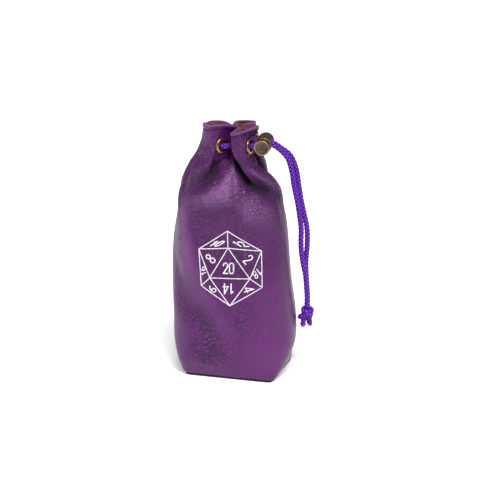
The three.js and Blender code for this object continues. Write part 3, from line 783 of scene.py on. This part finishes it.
def cut_slot(thing, start, end):
    """Cuts the slot that the cords cross through, with a small round on its edges."""
    size = np.array((12, (end - start) / 2, SLOT_HEIGHT / 2))
    corners = np.array([(x, y, z) for x in (-1, 1) for y in (-1, 1) for z in (-1, 1)]) * size
    corners[:, 1] += (start + end) / 2
    rotation, origin = LOCK_PLACE
    faces = [(0, 1, 3, 2), (4, 6, 7, 5), (0, 4, 5, 1), (2, 3, 7, 6), (0, 2, 6, 4), (1, 5, 7, 3)]
    cutter = add_mesh("slot_cutter", corners @ rotation.T + origin, faces, thing.data.materials[0])
    cut = thing.modifiers.new("slot", "BOOLEAN")
    cut.operation, cut.object, cut.solver = "DIFFERENCE", cutter, "EXACT"
    soft = thing.modifiers.new("edge", "BEVEL")
    soft.width, soft.segments, soft.limit_method = 0.18 * MM, 2, "ANGLE"
    soft.angle_limit = math.radians(40)
    bpy.context.view_layer.update()
    evaluated = thing.evaluated_get(bpy.context.evaluated_depsgraph_get())
    mesh = bpy.data.meshes.new_from_object(evaluated)
    thing.modifiers.clear()
    thing.data = mesh
    bpy.data.objects.remove(cutter)
    mesh.shade_smooth()
    mesh.set_sharp_from_angle(angle=math.radians(35))


def mark_wear(thing, places, spread):
    """How worn the finish is: strongest at the given (radius, along) edges."""
    co = np.array([v.co for v in thing.data.vertices]) / MM - LOCK_FACE
    along = co @ LOCK_AXIS
    radius = np.linalg.norm(co - np.outer(along, LOCK_AXIS), axis=1)
    wear = sum(np.exp(-(((radius - r) ** 2 + (along - a) ** 2) / spread ** 2)) for r, a in places)
    set_attribute(thing, "wear", np.clip(wear, 0, 1))


def make_lock(gunmetal, steel):
    barrel = turned("cord_lock_barrel", rounded([
        (0, BORE_END), (BORE_RADIUS, BORE_END), (BORE_RADIUS, BARREL_START),
        (BARREL_RADIUS - 0.2, BARREL_START), (BARREL_RADIUS, BARREL_START + 0.5),
        (BARREL_RADIUS, LOCK_LENGTH - 0.9), (BARREL_RADIUS - 0.9, LOCK_LENGTH), (0, LOCK_LENGTH),
    ], 0.35), LOCK_PLACE, LOCK_SIDES, gunmetal, closed=False)
    cut_slot(barrel, SLOT_START, SLOT_END)
    mark_wear(barrel, [(BARREL_RADIUS, BARREL_START), (BARREL_RADIUS - 0.3, LOCK_LENGTH)], 0.7)
    stand_for(barrel, "bag", "lock_barrel")
    plunger = turned("cord_lock_button", rounded([
        (0, 0.35), (HEAD_RADIUS - 1.6, 0.3), (HEAD_RADIUS - 1.0, 0.02), (HEAD_RADIUS - 0.2, 0.1),
        (HEAD_RADIUS, 0.6), (HEAD_RADIUS, HEAD_LENGTH - 0.4), (HEAD_RADIUS - 0.4, HEAD_LENGTH),
        (STEM_RADIUS, HEAD_LENGTH), (STEM_RADIUS, STEM_END), (0, STEM_END),
    ], 0.25), LOCK_PLACE, LOCK_SIDES, gunmetal, closed=False)
    cut_slot(plunger, SLOT_START - PRESS_TRAVEL, SLOT_END)
    mark_wear(plunger, [(HEAD_RADIUS - 0.2, 0.1), (HEAD_RADIUS, HEAD_LENGTH)], 0.6)
    stand_for(plunger, "button", "lock_plunger")
    spring = make_spring(steel)
    return barrel, plunger, spring


SPRING_WIRE, SPRING_RADIUS, SPRING_TURNS, SPRING_CLEAR, SPRING_KEEP = 0.4, 2.6, 3, 0.15, 0.05


def make_spring(steel):
    low = STEM_END + SPRING_WIRE / 2 + SPRING_CLEAR
    high = BORE_END - SPRING_WIRE / 2 - SPRING_CLEAR
    steps = np.linspace(0, 1, SPRING_TURNS * 32 + 1)
    angle = steps * SPRING_TURNS * 2 * np.pi
    across, up = SPRING_RADIUS * np.cos(angle), SPRING_RADIUS * np.sin(angle)
    route = np.array([in_lock(a, low + (high - low) * t, b) for a, t, b in zip(across, steps, up)])
    points, faces = tube(route, SPRING_WIRE / 2, 12)[:2]
    spring = add_mesh("coil_spring", points, faces, steel)
    stand_for(spring, "bag", "lock_spring")
    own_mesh(spring)
    return spring


# ---- Cord ----


def smooth_route(points, step):
    """Points every step mm along a centripetal curve through the given ones."""
    p = np.asarray(points, float)
    p = np.vstack([2 * p[0] - p[1], p, 2 * p[-1] - p[-2]])
    out = []
    for a, b, c, d in zip(p, p[1:], p[2:], p[3:]):
        k0, k1, k2 = (max(np.linalg.norm(q - r), 1e-6) ** 0.5 for q, r in ((a, b), (b, c), (c, d)))
        m1 = ((b - a) / k0 - (c - a) / (k0 + k1) + (c - b) / k1) * k1
        m2 = ((c - b) / k1 - (d - b) / (k1 + k2) + (d - c) / k2) * k1
        t = np.linspace(0, 1, 24, endpoint=False)[:, None]
        out.append(hermite(t, b, m1, c, m2))
    line = np.vstack([*out, p[-2:-1]])
    length = np.concatenate([[0], np.cumsum(np.linalg.norm(np.diff(line, axis=0), axis=1))])
    at = np.linspace(0, length[-1], max(4, int(round(length[-1] / step)) + 1))
    return np.column_stack([np.interp(at, length, line[:, k]) for k in range(3)])


def tube_frames(route):
    """Tangents and two side directions carried along the route without twist."""
    tangent = unit(np.gradient(route, axis=0))
    side = unit(np.cross(tangent[0], (0.31, 0.2, 0.93)))
    sides = []
    for t in tangent:
        side = unit(side - t * (side @ t))
        sides.append(side)
    sides = np.array(sides)
    return tangent, sides, np.cross(tangent, sides)


BRAID_STRANDS, BRAID_PITCH, BRAID_HEIGHT = 4, 2.3, 0.5


def braid_height(angle, along):
    """How far a braid's strands stand out, 0 to 1: two families of strands passing over and under."""
    a = BRAID_STRANDS * angle / (2 * math.pi) + along / BRAID_PITCH
    b = BRAID_STRANDS * angle / (2 * math.pi) - along / BRAID_PITCH
    fa, fb = a - np.floor(a), b - np.floor(b)
    over = (np.floor(a) + np.floor(b)) % 2 < 0.5
    across = np.where(over, fa, fb)
    lengthwise = np.where(over, fb, fa)
    return np.sin(np.pi * across) ** 0.8 * np.sin(np.pi * lengthwise) ** 0.35


def tube(route, radius, sides, braided=False):
    """Points, faces and braid heights of a closed tube along the route."""
    tangent, side, other = tube_frames(route)
    along = np.concatenate([[0], np.cumsum(np.linalg.norm(np.diff(route, axis=0), axis=1))])
    angle = np.linspace(0, 2 * np.pi, sides, endpoint=False)
    height = np.zeros((len(route), sides))
    size = np.broadcast_to(np.asarray(radius, float).reshape(-1, 1), (len(route), 1)) + height
    if braided:
        height = braid_height(angle[None, :], along[:, None])
        size = size + BRAID_HEIGHT * (height - 0.5)
    ring = np.cos(angle)[None, :, None] * side[:, None] + np.sin(angle)[None, :, None] * other[:, None]
    points = (route[:, None] + ring * size[..., None]).reshape(-1, 3)
    n = len(route)
    faces = []
    for j in range(n - 1):
        for k in range(sides):
            m = (k + 1) % sides
            faces.append((j * sides + k, j * sides + m, (j + 1) * sides + m, (j + 1) * sides + k))
    faces.append(tuple(range(sides - 1, -1, -1)))
    faces.append(tuple((n - 1) * sides + k for k in range(sides)))
    return points, faces, height.ravel()


def cord_piece(name, node, tubes, material):
    """One piece from one or more tubes, each (points, faces, braid heights)."""
    points, faces, heights = [], [], []
    count = 0
    for p, f, h in tubes:
        points.append(p)
        faces += [tuple(v + count for v in face) for face in f]
        heights.append(h)
        count += len(p)
    thing = add_mesh(name, np.vstack(points), faces, material)
    set_attribute(thing, "braid", np.concatenate(heights))
    stand_for(thing, "bag", node)
    return thing


def braided_piece(name, node, routes, material, radius=CORD_DIAMETER / 2, sides=30):
    return cord_piece(name, node, [tube(route, radius, sides, braided=True) for route in routes], material)


def seat_point(number, out, aside=0.0):
    _, centre, axis = SEATS[number - 1]
    return centre + axis * out + np.array((-axis[1], axis[0], 0)) * aside


EYELET_OUT, EYELET_IN = 1.2, -1.2


def pass_inside(number, out=EYELET_OUT):
    """In through one eyelet, along the inside of the pouch and out through the next."""
    return [seat_point(number, out), seat_point(number, EYELET_IN), seat_point(number, INSIDE),
            seat_point(number + 1, INSIDE), seat_point(number + 1, EYELET_IN),
            seat_point(number + 1, EYELET_OUT)]


def loop_route():
    """The woven part of the drawstring, from the lock round the neck and back to the lock."""
    return [in_lock(-0.2, FRONT_SLOT), in_lock(-4.1, FRONT_SLOT),
            seat_point(1, 1.5, 0.9), seat_point(1, -0.6, 0.5), seat_point(1, INSIDE),
            seat_point(2, INSIDE), seat_point(2, EYELET_IN), seat_point(2, 0.4),
            *pass_inside(3, 1.7), *pass_inside(5), *pass_inside(7),
            (12, 1.8, 133.1), (10.6, -2, 133.4), (10.5, -6.4, 134),
            in_lock(-5.2, 12.45), in_lock(-3.8, 12.05), in_lock(-0.2, BACK_SLOT)]


KNOT_CORD, CORD_STEP = 1.38, 0.2
KNOT_STRANDS = (((-2.0, -1.6, 2.2), (-0.4, -3.0, 0.8), (1.4, -2.7, -0.9), (2.2, -1.2, -2.4)),
                ((0.4, -1.6, 0.4), (-1.6, -1.6, -0.9), (-3.5, -0.9, -2.1), (-3.0, 0.7, -2.3),
                 (-1.0, 1.0, -1.2)),
                ((0.0, 0, 3.2), (0.2, 0, 0), (-0.4, -0.4, -3.2)))


def ring_route(centre, radius, tilt, turn, share=1.0, rise=0.0):
    """Part of a tilted turn of cord round the knot."""
    angle = np.linspace(0, 2 * np.pi * share, int(90 * share))
    flat = np.column_stack([radius * np.cos(angle), radius * np.sin(angle),
                            rise * angle / (2 * np.pi)])
    tilted = Matrix.Rotation(math.radians(turn), 3, "Z") @ Matrix.Rotation(math.radians(tilt), 3, "X")
    return flat @ np.array(tilted).T + np.asarray(centre, float)


def make_knot(cord):
    c = KNOT_CENTRE
    routes = [ring_route(c + (0.7, 0, 1.5), 2.3, 22, 40, 1.05, 0.5),
              ring_route(c + (0.4, 0, -0.9), 2.2, -30, 15, 1.05, -0.4)]
    routes += [smooth_route([c + place for place in strand], CORD_STEP) for strand in KNOT_STRANDS]
    return braided_piece("overhand_knot", "stopper_knot", routes, cord, radius=KNOT_CORD, sides=26)


def fray(centre, direction, seed, count=16):
    """Loose yarns at a cut end."""
    rng = np.random.default_rng(seed)
    routes = []
    for _ in range(count):
        start = centre + rng.normal(0, 0.55, 3) * (1, 1, 0.3)
        lean = unit(np.asarray(direction) + rng.normal(0, 0.3, 3))
        reach = rng.uniform(1.0, 2.2)
        routes.append(smooth_route([start, start + lean * reach * 0.5,
                                    start + lean * reach + rng.normal(0, 0.25, 3)], 0.25))
    return routes


END_SIZE, YARN_SIZE, YARN_HEIGHT = (1.35, 1.5), (0.22, 0.08), 0.8


def make_cord_end(name, node, places, cord, seed):
    route = smooth_route(places, CORD_STEP)
    tubes = [tube(route, np.linspace(*END_SIZE, len(route)), 26, braided=True)]
    for yarn in fray(route[-1], route[-1] - route[-3], seed):
        points, faces, _ = tube(yarn, np.linspace(*YARN_SIZE, len(yarn)), 5)
        tubes.append((points, faces, np.full(len(points), YARN_HEIGHT)))
    return cord_piece(name, node, tubes, cord)


END_A = [(40.1, -2.1, 31), (39.5, -2.2, 27.6), (39.3, -2.3, 25.9)]
END_B = [(42.4, -0.3, 31), (43.1, -0.4, 27.6), (43.4, -0.5, 26)]
FRAY_SEEDS = (3, 5)


def make_cords(cord):
    knot = make_knot(cord)
    end_a = make_cord_end("cut_end_a", "cord_end_a", END_A, cord, FRAY_SEEDS[0])
    end_b = make_cord_end("cut_end_b", "cord_end_b", END_B, cord, FRAY_SEEDS[1])
    runs = (("woven_drawstring", "drawstring", loop_route(), "object", "taut"),
            ("tail_cord_a", "tail_a", [in_lock(0.2, FRONT_SLOT), in_lock(4.7, FRONT_SLOT), *TAIL_A_BEYOND],
             "knot", "hanging"),
            ("tail_cord_b", "tail_b", [in_lock(0.2, BACK_SLOT), in_lock(4.7, BACK_SLOT), *TAIL_B_BEYOND],
             "knot", "hanging"))
    for name, node, places, far_end, lay in runs:
        route = smooth_route(places, CORD_STEP)
        piece = braided_piece(name, node, [route], cord)


# ---- Emblem ----
# An icosahedron drawn in outline and facing front, a little askew as the leather hangs. Millimetres
# from its middle.

EMBLEM_CENTRE = np.array((-2.4, 65.9))
CORNERS = {"T": (-1.7, 21.3), "UL": (-17.6, 10.9), "LL": (-16.3, -9.7), "B": (-0.4, -21.4),
           "LR": (17.6, -11.2), "UR": (17.2, 9.7), "t": (-1.4, 11.8), "l": (-11.6, -5.3), "r": (10.8, -5.9)}
EDGES = ("T-UL-LL-B-LR-UR-T", "t-l-r-t", "T-t", "UL-t", "UR-t", "UL-l", "LL-l", "B-l", "UR-r", "LR-r", "B-r")
# Each number's middle, the direction it runs in, the way its digits stand, and its height.
NUMERALS = (("20", (-1.1, 0.3), 0, 90, 6.4), ("8", (-11.1, 5.6), 51, 141, 6.2),
            ("2", (9.8, 5.2), -50, 41, 6.0), ("10", (-7.7, 14.2), 1, 33, 5.4),
            ("12", (5.2, 14.0), -1, 148, 5.4), ("14", (-1.1, -11.5), 180, 270, 6.2),
            ("16", (-15.2, -1.6), 103, 196, 2.9), ("18", (14.8, -2.9), 222, -58, 4.2),
            ("6", (-10.2, -11.7), 55, 145, 4.9), ("4", (10.0, -12.1), -62, 15, 5.8))
LINE_WIDTH, NUMERAL_WIDTH = 0.52, 0.7
RUN_SIZE, DIGIT_STEP, SMALL_RUN = 5.8, 0.56, 0.82
FILM_LIFT, FILM_STEP, FILM_THICKNESS, STROKE_OVERLAP = 0.07, 0.7, 0.1, 0.3
BEFORE_THE_FRONT = -60
DIGITS = {
    "0": [[(.1, .2), (.1, .8), (.2, .96), (.4, .96), (.5, .8), (.5, .2), (.4, .04), (.2, .04), (.1, .2)]],
    "1": [[(.16, .78), (.34, .96), (.34, .04)]],
    "2": [[(.08, .74), (.14, .92), (.3, .98), (.46, .9), (.5, .7), (.4, .5), (.08, .04), (.52, .04)]],
    "4": [[(.42, .02), (.42, .98), (.06, .3), (.56, .3)]],
    "6": [[(.46, .92), (.26, .84), (.12, .6), (.08, .28), (.18, .06), (.4, .04), (.52, .22), (.46, .46),
           (.28, .54), (.12, .42)]],
    "8": [[(.3, .52), (.12, .66), (.12, .86), (.3, .98), (.48, .86), (.48, .66), (.3, .52), (.08, .34),
           (.1, .12), (.3, .02), (.5, .12), (.52, .34), (.3, .52)]],
}


def heading(degrees):
    return np.array((math.cos(math.radians(degrees)), math.sin(math.radians(degrees))))


def emblem_strokes():
    """Polylines (points, width) of the emblem on the front's (x, z)."""
    strokes = [([EMBLEM_CENTRE + CORNERS[k] for k in edge.split("-")], LINE_WIDTH) for edge in EDGES]
    for text, centre, run, up, height in NUMERALS:
        size = RUN_SIZE * (SMALL_RUN if height < 5 else 1)
        for i, digit in enumerate(text):
            start = (i - (len(text) - 1) / 2) * DIGIT_STEP - 0.3
            for line in DIGITS[digit]:
                points = [EMBLEM_CENTRE + centre + heading(run) * (x + start) * size
                          + heading(up) * (y - 0.5) * height for x, y in line]
                strokes.append((points, NUMERAL_WIDTH * (height / 6) ** 0.5))
    return strokes


def lay_stroke(points, faces, tree, a, b, width):
    """Adds one straight stroke from a to b as a strip of film laid on the leather."""
    along = unit(b - a)
    across = np.array((-along[1], along[0])) * width / 2
    a, b = a - along * width * STROKE_OVERLAP, b + along * width * STROKE_OVERLAP
    steps = max(2, int(np.ceil(np.linalg.norm(b - a) / FILM_STEP)) + 1)
    start = len(points)
    for t in np.linspace(0, 1, steps):
        for side in (across, 0 * across, -across):
            x, z = a + (b - a) * t + side
            hit, normal, _, _ = tree.ray_cast(Vector((x, BEFORE_THE_FRONT, z)) * MM, Vector((0, 1, 0)))
            points.append(tuple(hit / MM + normal * FILM_LIFT))
    for k in range(steps - 1):
        for m in (0, 1):
            q = start + 3 * k + m
            faces.append((q, q + 3, q + 4, q + 1))


def make_emblem(panel, foil):
    """The printed outline die, as a thin film lying on the leather."""
    tree = BVHTree.FromObject(panel, bpy.context.evaluated_depsgraph_get())
    points, faces = [], []
    for line, width in emblem_strokes():
        line = np.array(line)
        for a, b in zip(line, line[1:]):
            lay_stroke(points, faces, tree, a, b, width)
    film = add_mesh("printed_die_outline", points, faces, foil)
    thick = film.modifiers.new("film", "SOLIDIFY")
    thick.thickness, thick.offset = FILM_THICKNESS * MM, -1
    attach(film, "bag")


# ---- Pouch ----


def make_pouch(leather, lining):
    made = {}
    tree = outside_tree()
    for name, node, start, near, far, material, slot in (
            ("front_leather", "front_panel", 0, 0, LEATHER, leather, "leather"),
            ("back_leather", "back_panel", 0.5, 0, LEATHER, leather, "leather"),
            ("front_suede", "lining_front", 0, LINING_TOP, LINING_TOP + LINING, lining, "suede_lining"),
            ("back_suede", "lining_back", 0.5, LINING_TOP, LINING_TOP + LINING, lining, "suede_lining")):
        piece = layer(name, start, near, far, material, tree)
        stand_for(piece, "bag", node)
        made[name] = piece
    return made


# ---- Setting ----


FLOOR_REACH, FLOOR_FRONT, FLOOR_LEVEL = 8.0, -2, -0.0003


def make_floor():
    corners = [(-FLOOR_REACH, FLOOR_FRONT, FLOOR_LEVEL), (FLOOR_REACH, FLOOR_FRONT, FLOOR_LEVEL),
               (FLOOR_REACH, FLOOR_REACH, FLOOR_LEVEL), (-FLOOR_REACH, FLOOR_REACH, FLOOR_LEVEL)]
    floor = add_mesh("floor", corners, [(0, 1, 2, 3)], floor_material(), scale=1)


CAMERA_AIM = (0.00286, 0.00091, 0.0757)
CAMERA_DISTANCE, CAMERA_ELEVATION, CAMERA_LENS, SENSOR_WIDTH = 0.8, 14.0, 104.7, 36.0


def make_camera():
    data = bpy.data.cameras.new("camera")
    data.lens, data.sensor_width = CAMERA_LENS, SENSOR_WIDTH
    camera = bpy.data.objects.new("camera", data)
    bpy.context.scene.collection.objects.link(camera)
    e = math.radians(CAMERA_ELEVATION)
    back = Vector((0, -math.cos(e), math.sin(e)))
    camera.location = Vector(CAMERA_AIM) + back * CAMERA_DISTANCE
    camera.rotation_euler = (-back).to_track_quat("-Z", "Y").to_euler()
    bpy.context.scene.camera = camera


WORLD_LIGHT = 0.26
# name, energy, width in degrees, direction it comes from
LIGHTS = (("high_softbox", 3.4, 24, (0.15, -0.75, 1.0)), ("left_softbox", 1.25, 44, (-1.0, -0.15, 0.14)))


def make_light():
    world = bpy.data.worlds.new("studio")
    bpy.context.scene.world = world
    world.use_nodes = True
    world.node_tree.nodes["Background"].inputs["Color"].default_value = (1, 1, 1, 1)
    world.node_tree.nodes["Background"].inputs["Strength"].default_value = WORLD_LIGHT
    for name, energy, width, direction in LIGHTS:
        sun = bpy.data.lights.new(name, "SUN")
        sun.energy, sun.angle = energy, math.radians(width)
        lamp = bpy.data.objects.new(name, sun)
        lamp.rotation_euler = Vector(direction).to_track_quat("Z", "Y").to_euler()
        bpy.context.scene.collection.objects.link(lamp)
    bpy.context.scene.view_settings.view_transform = "Standard"


def build():
    leather, lining = leather_material(), lining_material()
    brass = metal_material("eyelet_brass", colour(120, 92, 50), colour(190, 158, 92), 0.28)
    gunmetal = metal_material("lock_metal", colour(66, 57, 52), colour(100, 89, 81), 0.42,
                              worn=colour(168, 138, 96))
    steel = metal_material("spring_steel", colour(150, 150, 150), colour(200, 200, 200), 0.25)
    make_camera()
    lock = make_lock(gunmetal, steel)
    make_cords(cord_material())
    pouch = make_pouch(leather, lining)
    make_eyelets(brass)
    make_emblem(pouch["front_leather"], foil_material())
    make_floor()
    make_light()


build()
